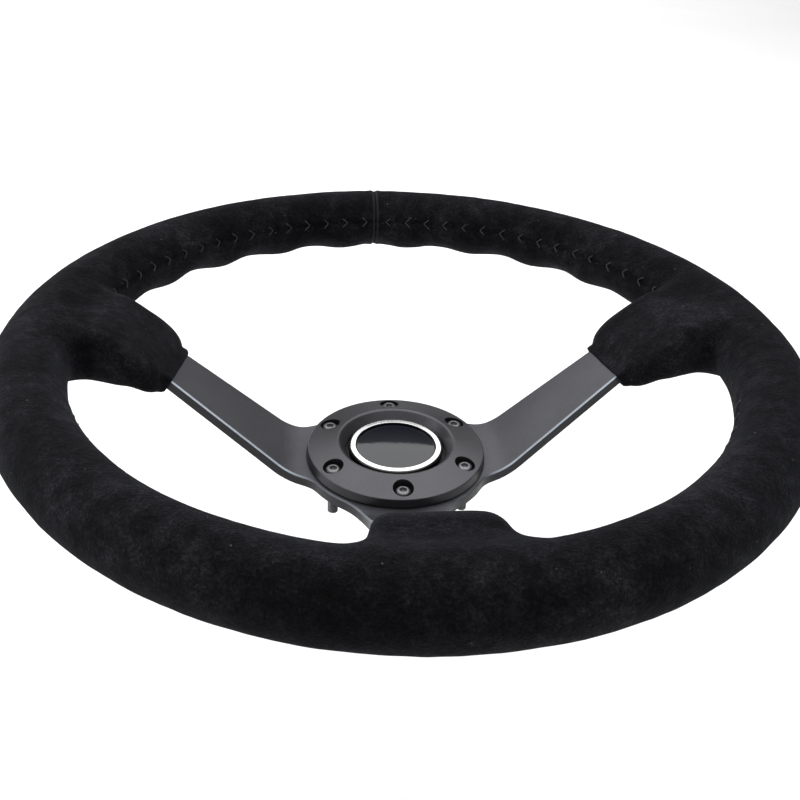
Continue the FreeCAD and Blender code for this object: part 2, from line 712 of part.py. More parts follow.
def check_and_export():
    """Stop at any failed object or bad shape, then write one STEP file for each node."""
    doc.recompute()
    for thing in doc.Objects:
        if any(state in ("Invalid", "Error") for state in thing.State):
            raise RuntimeError(f"{thing.Label}: {thing.State}")
    for node in nodes:
        if node.Shape.isNull() or not node.Shape.isValid():
            raise RuntimeError(f"{node.Label}: bad shape")
    os.makedirs("parts", exist_ok=True)
    for node in nodes:
        node.Shape.exportStep(f"parts/{node.Label}.step")
        extent = node.Shape.BoundBox
        print(f"{node.Label}: {len(node.Shape.Solids)} solids, {node.Shape.Volume:.1f} mm3, "
              f"z {extent.ZMin:.2f} to {extent.ZMax:.2f}")


make_sheet()
frame = make_spoke_frame()
core = make_core_ring()
rivets = make_rivets()
make_rim(frame, core, rivets)
make_seams()
make_hub_ring()
make_screws()
make_housing()
make_cap()
make_bezel()
make_emblem()
make_spring()
make_contacts()
make_terminal("horn_live_terminal", "LiveTerminal", "0", "pin_radius")
make_terminal("horn_ground_terminal", "GroundTerminal", "ground_pin", "stake_radius")
check_and_export()
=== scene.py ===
import json
import math
import random

import bpy
import numpy as np
from mathutils import Matrix, Vector, noise


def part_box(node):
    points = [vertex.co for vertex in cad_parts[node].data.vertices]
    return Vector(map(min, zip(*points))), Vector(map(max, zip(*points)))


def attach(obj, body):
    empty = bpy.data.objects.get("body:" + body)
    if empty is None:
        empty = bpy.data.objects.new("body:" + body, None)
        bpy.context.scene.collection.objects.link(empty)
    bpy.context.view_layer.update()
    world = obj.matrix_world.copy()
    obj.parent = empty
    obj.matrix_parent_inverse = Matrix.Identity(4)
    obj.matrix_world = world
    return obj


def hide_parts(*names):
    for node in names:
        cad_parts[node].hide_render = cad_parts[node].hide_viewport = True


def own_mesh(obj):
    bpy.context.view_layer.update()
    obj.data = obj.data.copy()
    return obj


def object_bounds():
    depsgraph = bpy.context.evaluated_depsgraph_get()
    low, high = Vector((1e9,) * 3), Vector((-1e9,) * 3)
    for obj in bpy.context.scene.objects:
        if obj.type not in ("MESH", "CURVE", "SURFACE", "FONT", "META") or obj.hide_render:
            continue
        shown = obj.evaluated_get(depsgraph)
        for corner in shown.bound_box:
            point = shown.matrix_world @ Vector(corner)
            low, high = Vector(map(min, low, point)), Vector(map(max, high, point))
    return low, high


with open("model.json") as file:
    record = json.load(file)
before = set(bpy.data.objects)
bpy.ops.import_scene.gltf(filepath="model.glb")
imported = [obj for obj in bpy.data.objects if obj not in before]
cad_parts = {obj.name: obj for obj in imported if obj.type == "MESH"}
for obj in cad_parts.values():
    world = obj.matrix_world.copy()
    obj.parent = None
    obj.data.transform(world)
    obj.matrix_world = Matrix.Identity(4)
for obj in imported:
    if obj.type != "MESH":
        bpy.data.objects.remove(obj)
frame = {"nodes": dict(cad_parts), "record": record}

MM = 0.001
CAD_BOX = [list(corner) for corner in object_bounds()]
NODES = frame["nodes"]

# ---- sizes of the grip, in millimetres; the rim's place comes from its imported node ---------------
COVER_LOW, COVER_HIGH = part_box("rim_cover")
RIM_TOP = COVER_HIGH.z / MM
OUTER_R = COVER_HIGH.x / MM
TUBE_R = 16.0
RING_R = OUTER_R - TUBE_R
RING_Z = RIM_TOP - TUBE_R
SKIN = 1.3
BOOT_END = 103.6
BOOT_BLEND = 9.5
HEM_AT = 105.0
SPOKE_RISE = 0.74
SPOKE_FOOT = 49.06
PLATE = 5.0
SEAM_TILT = math.radians(15.0)
SEAM_RUNS = ((22.0, 158.0), (200.0, 251.0), (289.0, 340.0))
STITCH_STEP = 4.35
GRIPS = 26
GRID = 1.3
ROOM = 3.0
GRIP_DEEP = 32.0
NAP_LIFT = 0.15
SCALLOP = 2.6


def smooth_max(a, b, soft):
    """The larger of two fields, rounded over a width."""
    mix = np.clip(0.5 + 0.5 * (a - b) / soft, 0.0, 1.0)
    return b + (a - b) * mix + soft * mix * (1.0 - mix)


def smooth_min(a, b, soft):
    """The smaller of two fields, rounded over a width."""
    return -smooth_max(-a, -b, soft)


def rounded_both(a, b, radius):
    """What lies inside both fields, with its common edge rounded to a radius."""
    deep_a = a + radius
    deep_b = b + radius
    outside = np.hypot(np.maximum(deep_a, 0.0), np.maximum(deep_b, 0.0))
    return outside + np.minimum(np.maximum(deep_a, deep_b), 0.0) - radius


def smooth_curve(points, soft):
    """A function through a few points, with its corners softened."""
    stations = np.arange(60.0, 200.0, 0.5)
    values = np.interp(stations, [p[0] for p in points], [p[1] for p in points])
    half = int(3 * soft / 0.5)
    steps = np.arange(-half, half + 1) * 0.5
    weights = np.exp(-0.5 * (steps / soft) ** 2)
    padded = np.pad(values, half, mode="edge")
    values = np.convolve(padded, weights / weights.sum(), mode="valid")
    return lambda u: np.interp(u, stations, values)


BOOT_TOP = smooth_curve(((80, 34.2), (101, 50.2), (127, 70.6), (160, 72.0)), 4.0)
BOOT_BOTTOM = smooth_curve(((80, 16.2), (101, 32.5), (119, 46.2), (160, 45.5)), 3.0)
SIDE_UPPER = smooth_curve(
    ((80, 42), (101, 44), (110, 45.5), (122, 46.5), (148, 47), (175, 48)), 4.0
)
SIDE_LOWER = smooth_curve(
    ((80, 2), (101, -0.5), (112, -6.5), (123, -7.5), (135, -2.5), (150, 2), (175, 4)), 3.0
)
FOOT_HALF = smooth_curve(((80, 20), (101, 21), (118, 21.5), (134, 24.5), (150, 31), (170, 42)), 4.0)
SIDE_LEAN = 0.145
LEAN_FROM = 20.0


def boot(u, across_low, across_high, across, z, lean=0.0):
    """One padded boot: u runs out along the spoke, across is its width."""
    plan = smooth_max(across - across_high(u), across_low(u) - across, 4.0)
    plan = smooth_max(plan, BOOT_END - u - lean, 8.0)
    plan = np.maximum(plan, np.hypot(u, across) - RING_R)
    sides = smooth_max(z - BOOT_TOP(u), BOOT_BOTTOM(u) - z, 3.0)
    return rounded_both(plan, sides, 7.0)


def hem(u, low, high, across, z, lean=0.0):
    """The folded hem that closes a boot on its spoke."""
    middle = PLATE + SPOKE_RISE * (u - SPOKE_FOOT) - 3.1
    flat = np.abs(z - middle) / math.hypot(1.0, SPOKE_RISE) - 4.0
    along = u + lean + SPOKE_RISE * (z - middle) / (1.0 + SPOKE_RISE**2) - HEM_AT
    plan = np.maximum(across - high, low - across)
    ends = np.maximum(plan, np.abs(along) - 3.6)
    return rounded_both(ends, flat, 1.5)


def tube_angles(x, y, z):
    """Angle round the rim, and angle round the tube from the inner side upwards."""
    ring = np.hypot(x, y)
    return np.degrees(np.arctan2(y, x)) % 360.0, np.arctan2(z - RING_Z, RING_R - ring)


def in_runs(angle, fade):
    """1 where the laced seam runs, 0 at the boots; a negative fade lies inside the runs."""
    share = np.zeros_like(angle)
    for first, last in SEAM_RUNS:
        near = np.minimum(angle - first, last - angle)
        share = np.maximum(share, np.clip(near / abs(fade) + (fade > 0), 0.0, 1.0))
    return share * share * (3.0 - 2.0 * share)


def groove(distance, width, depth, lip):
    """A sewn seam: a narrow valley between two low swellings."""
    valley = depth * np.exp(-((distance / width) ** 2))
    swell = lip * np.exp(-(((np.abs(distance) - 2.6 * width) / (1.6 * width)) ** 2))
    return swell - valley


def tube_radius(x, y, z):
    """Radius of the rim's section, with its finger grips and seams."""
    angle, tilt = tube_angles(x, y, z)
    runs = in_runs(angle, -24.0)
    wave = 0.5 + 0.5 * np.cos(np.radians(GRIPS * (angle - 90.0)))
    behind = np.exp(-(((tilt + math.radians(58.0)) / math.radians(34.0)) ** 2))
    radius = TUBE_R - SCALLOP * wave * behind * runs
    lacing = TUBE_R * (tilt - SEAM_TILT)
    radius = radius + groove(lacing, 0.8, 0.75, 0.25) * in_runs(angle, 2.0)
    join = np.where(y > 0.0, x, 99.0)
    return radius + groove(join, 0.8, 0.8, 0.3)


def grip_field(x, y, z):
    """Below zero inside the padded rim, above zero outside it."""
    ring = np.hypot(x, y)
    field = np.hypot(ring - RING_R, z - RING_Z) - tube_radius(x, y, z)
    out = np.abs(x)
    side = boot(out, SIDE_LOWER, SIDE_UPPER, y, z, SIDE_LEAN * (y - LEAN_FROM))
    side = smooth_min(side, hem(out, 1.4, 36.2, y, z, SIDE_LEAN * (y - LEAN_FROM)), 2.0)
    field = smooth_min(field, side, BOOT_BLEND)
    foot = boot(-y, lambda u: -FOOT_HALF(u), FOOT_HALF, x, z)
    foot = smooth_min(foot, hem(-y, -17.2, 17.2, x, z), 2.0)
    return smooth_min(field, foot, BOOT_BLEND)


def grid_surface(field, low, high, step):
    """Points and four-sided faces of a field's zero surface, one point a cell."""
    axes = [np.arange(a, b + step, step) for a, b in zip(low, high)]
    x, y, z = np.meshgrid(*axes, indexing="ij")
    inside = field(x, y, z) < 0.0
    corner_count = np.zeros(tuple(n - 1 for n in inside.shape), int)
    for i in (0, 1):
        for j in (0, 1):
            for k in (0, 1):
                part = inside[i:, j:, k:]
                corner_count += part[tuple(slice(0, n) for n in corner_count.shape)]
    mixed = (corner_count > 0) & (corner_count < 8)
    number = np.full(mixed.shape, -1)
    number[mixed] = np.arange(mixed.sum())
    cells = np.argwhere(mixed)
    points = np.stack([axes[a][cells[:, a]] + step / 2 for a in range(3)], axis=1)
    faces = []
    for axis in range(3):
        b, c = [a for a in range(3) if a != axis]
        first = np.take(inside, range(inside.shape[axis] - 1), axis)
        second = np.take(inside, range(1, inside.shape[axis]), axis)
        cross = np.argwhere(first != second)
        keep = (cross[:, b] > 0) & (cross[:, c] > 0)
        keep &= (cross[:, b] < mixed.shape[b]) & (cross[:, c] < mixed.shape[c])
        cross = cross[keep]
        corners = []
        for db, dc in ((-1, -1), (0, -1), (0, 0), (-1, 0)):
            shifted = cross.copy()
            shifted[:, b] += db
            shifted[:, c] += dc
            corners.append(number[tuple(shifted.T)])
        quads = np.stack(corners, axis=1)
        outward = first[tuple(cross.T)]
        turn = outward if axis != 1 else ~outward
        quads[~turn] = quads[~turn][:, ::-1]
        faces.append(quads)
    return points, np.concatenate(faces)


def field_slope(field, points):
    """Gradient of a field at points."""
    step = 0.05
    slope = np.empty_like(points)
    for axis in range(3):
        ahead = points.copy()
        behind = points.copy()
        ahead[:, axis] += step
        behind[:, axis] -= step
        slope[:, axis] = (field(*ahead.T) - field(*behind.T)) / (2 * step)
    return slope


def settle(field, points, level=0.0, rounds=6):
    """Moves points along a field's slope on to one of its levels."""
    points = points.copy()
    for _ in range(rounds):
        slope = field_slope(field, points)
        length = np.maximum((slope**2).sum(1), 0.05)
        move = ((field(*points.T) - level) / length)[:, None] * slope
        size = np.linalg.norm(move, axis=1)[:, None]
        points -= move * np.minimum(1.0, 1.5 / np.maximum(size, 1e-9))
    return points


def neighbour_mean(points, faces, rounds):
    """Evens out the spacing of points over their faces."""
    edges = np.concatenate([faces[:, [0, 1]], faces[:, [1, 2]], faces[:, [2, 3]], faces[:, [3, 0]]])
    edges = np.concatenate([edges, edges[:, ::-1]])
    count = np.bincount(edges[:, 0], minlength=len(points))[:, None]
    for _ in range(rounds):
        total = np.zeros_like(points)
        for axis in range(3):
            total[:, axis] = np.bincount(edges[:, 0], points[edges[:, 1], axis], len(points))
        points = 0.5 * points + 0.5 * total / count
    return points


def mesh_piece(name, points, faces, scale=MM):
    """A smooth-shaded mesh object from points and faces."""
    mesh = bpy.data.meshes.new(name)
    mesh.from_pydata((np.asarray(points) * scale).tolist(), [], np.asarray(faces).tolist())
    mesh.update()
    mesh.shade_smooth()
    piece = bpy.data.objects.new(name, mesh)
    bpy.context.scene.collection.objects.link(piece)
    return piece


def ripple(points, size, seed):
    """Slow random heights, from -1 to 1, over points."""
    shift = Vector((seed * 17.3, seed * 5.1, seed * 9.7))
    return np.array([noise.noise(Vector(p) / size + shift) for p in points])


def make_grip():
    """The suede cover and the foam under it, from one field."""
    low = (-OUTER_R - ROOM, -OUTER_R - ROOM, RING_Z - GRIP_DEEP)
    high = (OUTER_R + ROOM, OUTER_R + ROOM, RIM_TOP + ROOM)
    step = GRID
    points, faces = grid_surface(grip_field, low, high, step)
    points = settle(grip_field, points)
    points = neighbour_mean(points, faces, 3)
    points = settle(grip_field, points)
    slope = field_slope(grip_field, points)
    normal = slope / np.linalg.norm(slope, axis=1)[:, None]
    foam_points = points - normal * SKIN
    height = 0.22 * ripple(points, 16.0, 1) + 0.10 * ripple(points, 5.0, 2)
    points = points + normal * (height + NAP_LIFT)[:, None]
    cover = mesh_piece("rim_suede", points, faces)
    foam = mesh_piece("rim_foam_core", foam_points, faces)
    return cover, foam


suede, foam = make_grip()


# ---- thread, screws and spring -------------------------------------------------------------------
def tube_point(angle, tilt, radius):
    """A point over the rim's section, from its two angles in radians, in millimetres."""
    ring = RING_R - radius * math.cos(tilt)
    height = RING_Z + radius * math.sin(tilt)
    return Vector((ring * math.cos(angle), ring * math.sin(angle), height))


def add_thread(points, faces, path, radius, sides=8):
    """Adds a closed thread along a path to a list of points and faces."""
    first = len(points)
    for i, centre in enumerate(path):
        ahead = path[min(i + 1, len(path) - 1)] - path[max(i - 1, 0)]
        along = ahead.normalized()
        side = along.orthogonal().normalized()
        up = along.cross(side)
        for k in range(sides):
            turn = 2 * math.pi * k / sides
            points.append(centre + (side * math.cos(turn) + up * math.sin(turn)) * radius)
    for i in range(len(path) - 1):
        for k in range(sides):
            a = first + i * sides + k
            b = first + i * sides + (k + 1) % sides
            faces.append((a, b, b + sides, a + sides))
    faces.append(tuple(first + k for k in reversed(range(sides))))
    last = first + (len(path) - 1) * sides
    faces.append(tuple(last + k for k in range(sides)))


LACING_R = 0.31


def make_lacing(first, last, rng):
    """The V stitches of one run of the laced seam."""
    points = []
    faces = []
    count = int((last - first) / STITCH_STEP)
    start = (first + last - count * STITCH_STEP) / 2
    for n in range(count + 1):
        angle = math.radians(start + n * STITCH_STEP + rng.uniform(-0.15, 0.15))
        toward = 1.0 if angle < math.pi / 2 or angle > 3 * math.pi / 2 else -1.0
        for way in (-1.0, 1.0):
            reach = rng.uniform(0.17, 0.21)
            spread = math.radians(1.35) * rng.uniform(0.85, 1.15)
            path = []
            for k in range(9):
                t = k / 8
                lift = 0.55 * math.sin(math.pi * t) - 0.25
                tilt = SEAM_TILT + way * reach * t
                path.append(tube_point(angle - toward * spread * t, tilt, TUBE_R + lift))
            add_thread(points, faces, path, LACING_R)
    return points, faces


def mixed_piece(name, points, faces):
    """A smooth-shaded mesh object whose faces may have any number of corners."""
    mesh = bpy.data.meshes.new(name)
    mesh.from_pydata([tuple(p * MM) for p in points], [], faces)
    mesh.update()
    mesh.shade_smooth()
    piece = bpy.data.objects.new(name, mesh)
    bpy.context.scene.collection.objects.link(piece)
    return piece


def lathe_rows(rows, sides, centre, points, faces):
    """Adds a closed skin over rows of (height, radius of angle) round a centre."""
    first = len(points)
    for height, radius in rows:
        for k in range(sides):
            turn = 2 * math.pi * k / sides
            reach = radius(turn, height)
            points.append(centre + Vector((reach * math.cos(turn), reach * math.sin(turn), height)))
    for row in range(len(rows) - 1):
        for k in range(sides):
            a = first + row * sides + k
            b = first + row * sides + (k + 1) % sides
            faces.append((a, b, b + sides, a + sides))
    faces.append(tuple(first + k for k in reversed(range(sides))))
    last = first + (len(rows) - 1) * sides
    faces.append(tuple(last + k for k in range(sides)))


def round_row(radius):
    """A row of constant radius."""
    return lambda turn, height: radius


def hex_row(half):
    """A row that follows a hexagon of that half width across flats."""
    step = math.pi / 3
    return lambda turn, height: half / math.cos((turn + step / 2) % step - step / 2)


def thread_row(turn, height):
    """The radius of an M5 thread at an angle and height, in millimetres."""
    phase = (height / THREAD_PITCH - turn / (2 * math.pi)) % 1.0
    crest = abs(2.0 * phase - 1.0)
    return 2.05 + 0.43 * min(1.0, 1.25 * crest)


THREAD_PITCH = 0.8
SCREW_SIDES = 24
PLATE_AND_RING = 6.8
HEAD_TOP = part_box("hub_screws")[1].z / MM
SCREW_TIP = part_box("hub_screws")[0].z / MM
BOLT_CIRCLE = 35.0
HEAD_ROWS = (
    (0.0, 2.3), (0.0, 3.35), (0.15, 3.55), (0.45, 3.6), (2.2, 3.6), (2.65, 3.5), (3.05, 3.25),
    (3.4, 2.85), (3.62, 2.4), (3.7, 2.05), (3.66, 1.85),
)
SOCKET_ROWS = ((0.05, 1.62), (0.25, 1.5), (1.9, 1.5), (2.1, 0.9))


def make_screws():
    """The six dome-head screws, with rolled threads and hexagon sockets."""
    points = []
    faces = []
    rows = [(SCREW_TIP, round_row(1.55)), (SCREW_TIP + 0.35, round_row(2.0))]
    height = SCREW_TIP + 0.5
    while height < PLATE_AND_RING - 0.3:
        rows.append((height, thread_row))
        height += THREAD_PITCH / 6
    rows += [(PLATE_AND_RING + level, round_row(radius)) for level, radius in HEAD_ROWS]
    for depth, half in SOCKET_ROWS:
        rows.append((HEAD_TOP - depth, hex_row(half)))
    for bolt in range(6):
        angle = math.radians(30 + 60 * bolt)
        centre = Vector((BOLT_CIRCLE * math.cos(angle), BOLT_CIRCLE * math.sin(angle), 0.0))
        lathe_rows(rows, SCREW_SIDES, centre, points, faces)
    return points, faces


SPRING_LOW = -5.4
SPRING_HIGH = 6.7
SPRING_TURNS = 5.5
SPRING_MEAN = 7.0
WIRE = 0.7


def make_spring():
    """The horn push's return spring, with closed ends."""
    points = []
    faces = []
    path = []
    count = int(SPRING_TURNS * 36)
    low = SPRING_LOW + WIRE
    high = SPRING_HIGH - WIRE
    for k in range(count + 1):
        share = k / count
        rise = share - math.sin(2 * math.pi * share) / (2 * math.pi) * 0.55
        angle = 2 * math.pi * SPRING_TURNS * share
        path.append(Vector((
            SPRING_MEAN * math.cos(angle), SPRING_MEAN * math.sin(angle), low + (high - low) * rise
        )))
    add_thread(points, faces, path, WIRE, 12)
    return points, faces


dice = random.Random(7)
lacings = {}
for side_name, (run_first, run_last) in zip(("upper", "left", "right"), SEAM_RUNS):
    lacings[side_name] = mixed_piece(
        "seam_stitches_" + side_name, *make_lacing(run_first, run_last, dice)
    )


screws = mixed_piece("dome_screws", *make_screws())
spring = mixed_piece("return_spring", *make_spring())


# ---- materials -----------------------------------------------------------------------------------
def material(name):
    """A new node material, its node tree and its Principled shader."""
    made = bpy.data.materials.new(name)
    made.use_nodes = True
    return made, made.node_tree, made.node_tree.nodes["Principled BSDF"]


def add_node(tree, kind, **values):
    """A node with some of its sockets or properties set."""
    made = tree.nodes.new(kind)
    for key, value in values.items():
        if key.startswith("in_"):
            made.inputs[key[3:].replace("_", " ")].default_value = value
        else:
            setattr(made, key, value)
    return made


def place_texture(tree, stretch=(1.0, 1.0, 1.0)):
    """Object coordinates, stretched."""
    place = add_node(tree, "ShaderNodeTexCoord")
    scale = add_node(tree, "ShaderNodeMapping", in_Scale=stretch)
    tree.links.new(place.outputs["Object"], scale.inputs["Vector"])
    return scale.outputs["Vector"]


def noise_of(tree, where, size, detail=3.0, rough=0.55):
    """Noise whose features are about a size in metres."""
    made = add_node(
        tree, "ShaderNodeTexNoise", in_Scale=1.0 / size, in_Detail=detail, in_Roughness=rough
    )
    tree.links.new(where, made.inputs["Vector"])
    return made.outputs["Fac"]


def ramp_of(tree, value, stops):
    """A colour ramp through (place, colour) stops."""
    made = add_node(tree, "ShaderNodeValToRGB")
    ramp = made.color_ramp
    while len(ramp.elements) < len(stops):
        ramp.elements.new(0.5)
    for element, (place, colour) in zip(ramp.elements, stops):
        element.position = place
        element.color = (*colour, 1.0)
    tree.links.new(value, made.inputs["Fac"])
    return made.outputs["Color"]


def math_of(tree, operation, a, b):
    """One Math node; a and b are sockets or numbers."""
    made = add_node(tree, "ShaderNodeMath", operation=operation)
    for socket, value in zip(made.inputs, (a, b)):
        if isinstance(value, (int, float)):
            socket.default_value = value
        else:
            tree.links.new(value, socket)
    return made.outputs[0]


def mix_colours(tree, share, a, b):
    """A mix of two colours, each a socket or a colour."""
    made = add_node(tree, "ShaderNodeMix", data_type="RGBA")
    for socket, value in ((made.inputs[0], share), (made.inputs[6], a), (made.inputs[7], b)):
        if isinstance(value, tuple):
            socket.default_value = (*value, 1.0)
        elif isinstance(value, float):
            socket.default_value = value
        else:
            tree.links.new(value, socket)
    return made.outputs[2]


def bump_on(tree, shader, height, depth, strength=1.0):
    """Bump of a depth in metres on a shader."""
    made = add_node(tree, "ShaderNodeBump", in_Distance=depth, in_Strength=strength)
    tree.links.new(height, made.inputs["Height"])
    tree.links.new(made.outputs["Normal"], shader.inputs["Normal"])


def weighted(tree, a, share_a, b, share_b):
    """The sum of two values, each times its share."""
    first = math_of(tree, "MULTIPLY", a, share_a)
    second = math_of(tree, "MULTIPLY", b, share_b)
    return math_of(tree, "ADD", first, second)


def grey(value, blue=0.0):
    """A grey with a little blue in it."""
    return (value, value, value * (1 + blue))


def join_share(tree):
    """How far the nap is rubbed pale along the join at 12 o'clock."""
    place = add_node(tree, "ShaderNodeTexCoord")
    split = add_node(tree, "ShaderNodeSeparateXYZ")
    tree.links.new(place.outputs["Object"], split.inputs[0])
    aside = math_of(tree, "MULTIPLY", math_of(tree, "ABSOLUTE", split.outputs["X"], 0.0), 100.0)
    line = ramp_of(tree, aside, ((0.02, grey(0.0)), (0.08, grey(0.7)), (0.2, grey(0.0))))
    upper = math_of(tree, "GREATER_THAN", split.outputs["Y"], 0.0)
    return math_of(tree, "MULTIPLY", line, upper)


def suede_material():
    made, tree, shader = material("suede_black")
    where = place_texture(tree)
    cloud = noise_of(tree, where, 0.03, 5.0, 0.65)
    brushed = noise_of(tree, where, 0.006, 4.0, 0.7)
    fibre = noise_of(tree, where, 0.0011, 4.0, 0.75)
    tone = weighted(tree, cloud, 0.37, brushed, 0.3)
    tone = math_of(tree, "ADD", tone, math_of(tree, "MULTIPLY", fibre, 0.43))
    colour = ramp_of(
        tree, tone,
        (
            (0.42, grey(0.001, 0.2)), (0.52, grey(0.0034, 0.2)),
            (0.6, grey(0.009, 0.2)), (0.7, grey(0.026, 0.15)),
        ),
    )
    lint = add_node(tree, "ShaderNodeTexVoronoi", in_Scale=1.0 / 0.0085)
    tree.links.new(where, lint.inputs["Vector"])
    near_lint = ((0.0, grey(1.0)), (0.03, grey(0.5)), (0.055, grey(0.0)))
    speck = ramp_of(tree, lint.outputs["Distance"], near_lint)
    colour = mix_colours(tree, speck, colour, grey(0.1))
    colour = mix_colours(tree, join_share(tree), colour, grey(0.03))
    tree.links.new(colour, shader.inputs["Base Color"])
    shader.inputs["Roughness"].default_value = 0.95
    shader.inputs["Specular IOR Level"].default_value = 0.06
    shader.inputs["Sheen Weight"].default_value = 0.03
    shader.inputs["Sheen Roughness"].default_value = 0.4
    shader.inputs["Sheen Tint"].default_value = (0.7, 0.75, 0.95, 1.0)
    nap = weighted(tree, fibre, 0.6, brushed, 0.9)
    bump_on(tree, shader, nap, 0.0012)
    return made


def thread_material():
    made, tree, shader = material("waxed_thread")
    where = place_texture(tree, (1.0, 1.0, 3.0))
    twist = noise_of(tree, where, 0.0006, 2.0)
    colour = ramp_of(tree, twist, ((0.3, grey(0.003)), (0.7, grey(0.013))))
    tree.links.new(colour, shader.inputs["Base Color"])
    shader.inputs["Roughness"].default_value = 0.55
    bump_on(tree, shader, twist, 0.0002)
    return made


def level_and_shaded_wall(tree):
    """How level a surface lies, and its share of upright wall: 1 on a wall, 0 on a flat; the share
    masks the painted shade laid on upright walls.
    """
    place = add_node(tree, "ShaderNodeTexCoord")
    split = add_node(tree, "ShaderNodeSeparateXYZ")
    tree.links.new(place.outputs["Normal"], split.inputs[0])
    level = math_of(tree, "ABSOLUTE", split.outputs["Z"], 0.0)
    return level, ramp_of(tree, level, ((0.35, grey(1.0)), (0.5, grey(0.0))))


def chamfer_highlight_share(tree, level):
    """1 on the frame's chamfers, fading out towards the hub: a painted highlight, bright where the
    edge faces the light along the spokes and fading where it turns away near the hub.
    """
    edge = ramp_of(
        tree, level, ((0.48, grey(0.0)), (0.52, grey(1.0)), (0.74, grey(1.0)), (0.77, grey(0.0)))
    )
    flat = place_texture(tree, (1.0, 1.0, 0.0))
    reach = add_node(tree, "ShaderNodeVectorMath", operation="LENGTH")
    tree.links.new(flat, reach.inputs[0])
    # The painted highlight fades towards the hub, where the chamfer turns away from the light.
    far = ramp_of(
        tree, math_of(tree, "MULTIPLY", reach.outputs["Value"], 10.0),
        ((0.44, grey(0.15)), (0.55, grey(0.95)), (0.85, grey(1.0))),
    )
    return math_of(tree, "MULTIPLY", edge, far)


def metal_material(
    name, tone, roughness, metallic, stretch, spread=0.25, blue=0.05, painted_wall_shade=1.0, paint_chamfer_highlight=False
):
    """Brushed or bead-blasted metal: fine streaks in its colour, roughness and bump, with painted
    shade on upright walls and a painted highlight on chamfers where asked.
    """
    made, tree, shader = material(name)
    where = place_texture(tree, stretch)
    streak = noise_of(tree, where, 0.0012, 4.0, 0.7)
    patch = noise_of(tree, place_texture(tree), 0.03, 3.0)
    both = weighted(tree, streak, 0.6, patch, 0.4)
    dark = grey(tone * (1 - spread), blue)
    light = grey(tone * (1 + spread), blue)
    colour = ramp_of(tree, both, ((0.3, dark), (0.7, light)))
    dull = grey(min(1.0, roughness * 1.2))
    rough = ramp_of(tree, streak, ((0.3, grey(roughness * 0.85)), (0.7, dull)))
    level, shaded_wall_share = level_and_shaded_wall(tree)
    # Painted shade: upright walls get a darker copy of the tone, standing in for the shade on walls
    # lit from above.
    if painted_wall_shade < 1.0:
        colour = mix_colours(tree, shaded_wall_share, colour, grey(tone * painted_wall_shade, blue))
    # Painted highlight: a pale bluish colour on the chamfers, standing in for the light they catch.
    if paint_chamfer_highlight:
        colour = mix_colours(tree, chamfer_highlight_share(tree, level), colour, (0.42, 0.46, 0.52))
    tree.links.new(colour, shader.inputs["Base Color"])
    tree.links.new(rough, shader.inputs["Roughness"])
    shader.inputs["Metallic"].default_value = metallic
    bump_on(tree, shader, streak, 0.00006)
    return made


def plain_material(name, colour, roughness, grain, depth, metallic=0.0, coat=0.0, spread=0.2):
    """Moulded plastic, foam or plated metal: a tone that varies a little, and a grain."""
    made, tree, shader = material(name)
    where = place_texture(tree)
    texture = noise_of(tree, where, grain, 4.0, 0.6)
    patch = noise_of(tree, where, 0.012, 3.0)
    dark = tuple(c * (1 - spread) for c in colour)
    light = tuple(c * (1 + spread) for c in colour)
    tree.links.new(ramp_of(tree, patch, ((0.3, dark), (0.7, light))), shader.inputs["Base Color"])
    dull = grey(min(1.0, roughness * 1.2))
    rough = ramp_of(tree, patch, ((0.3, grey(roughness * 0.8)), (0.7, dull)))
    tree.links.new(rough, shader.inputs["Roughness"])
    shader.inputs["Metallic"].default_value = metallic
    shader.inputs["Coat Weight"].default_value = coat
    bump_on(tree, shader, texture, depth)
    return made


def chrome_material():
    """Chrome plate bright on the bezel's crown; its flanks are painted dark, a painted reflection of
    dark surroundings.
    """
    made, tree, shader = material("bezel_chrome")
    where = place_texture(tree)
    patch = noise_of(tree, where, 0.004, 3.0)
    place = add_node(tree, "ShaderNodeTexCoord")
    split = add_node(tree, "ShaderNodeSeparateXYZ")
    tree.links.new(place.outputs["Normal"], split.inputs[0])
    level = math_of(tree, "ABSOLUTE", split.outputs["Z"], 0.0)
    # Painted reflection: the base colour darkens where the bezel's surface tilts from level, standing
    # in for the dark surroundings its flanks reflect.
    colour = ramp_of(tree, level, ((0.3, grey(0.03)), (0.92, grey(0.07)), (0.995, grey(0.86))))
    tree.links.new(colour, shader.inputs["Base Color"])
    rough = ramp_of(tree, patch, ((0.3, grey(0.06)), (0.7, grey(0.1))))
    tree.links.new(rough, shader.inputs["Roughness"])
    shader.inputs["Metallic"].default_value = 1.0
    return made


